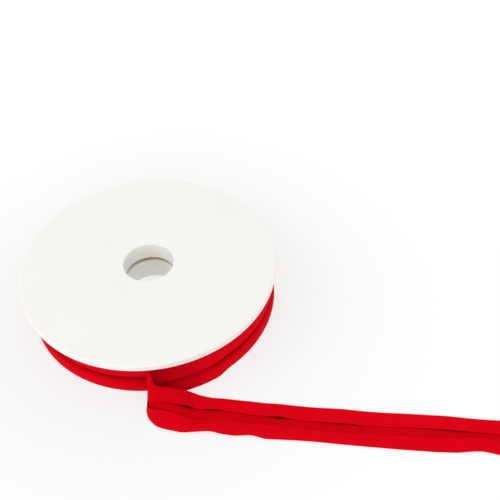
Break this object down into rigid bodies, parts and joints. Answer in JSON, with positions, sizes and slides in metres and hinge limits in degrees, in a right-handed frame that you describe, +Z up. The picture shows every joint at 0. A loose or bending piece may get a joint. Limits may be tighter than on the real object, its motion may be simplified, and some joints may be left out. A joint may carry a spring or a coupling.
{
  "type": "reel of folded bias tape",
  "caption": "Flat white reel lying on its side, wound with folded bias tape for edging and piping seams; the loose end folds back on itself and runs out over the table, open side up.",
  "frame": {"origin": "middle of the whole part's footprint, on the surface it lies on; the reel's axis stands at x = -0.0565 m, y = 0.01975 m", "axes": "+Z up along the reel's bore; +X the way the loose end runs out from the reel; -Y the side the loose end lies on"},
  "size_m": [0.243, 0.1694, 0.0241],
  "materials": {
    "white_plastic": "satin moulded plastic",
    "brown_card": "bare wound card",
    "red_tape": "plain-woven cotton blend, cut on the bias and pressed"
  },
  "bodies": {
    "root": {"flange_top": "white_plastic", "flange_bottom": "white_plastic", "core_tube": "brown_card", "wound_tape": "red_tape", "loose_end": "red_tape"}
  },
  "joints": []
}
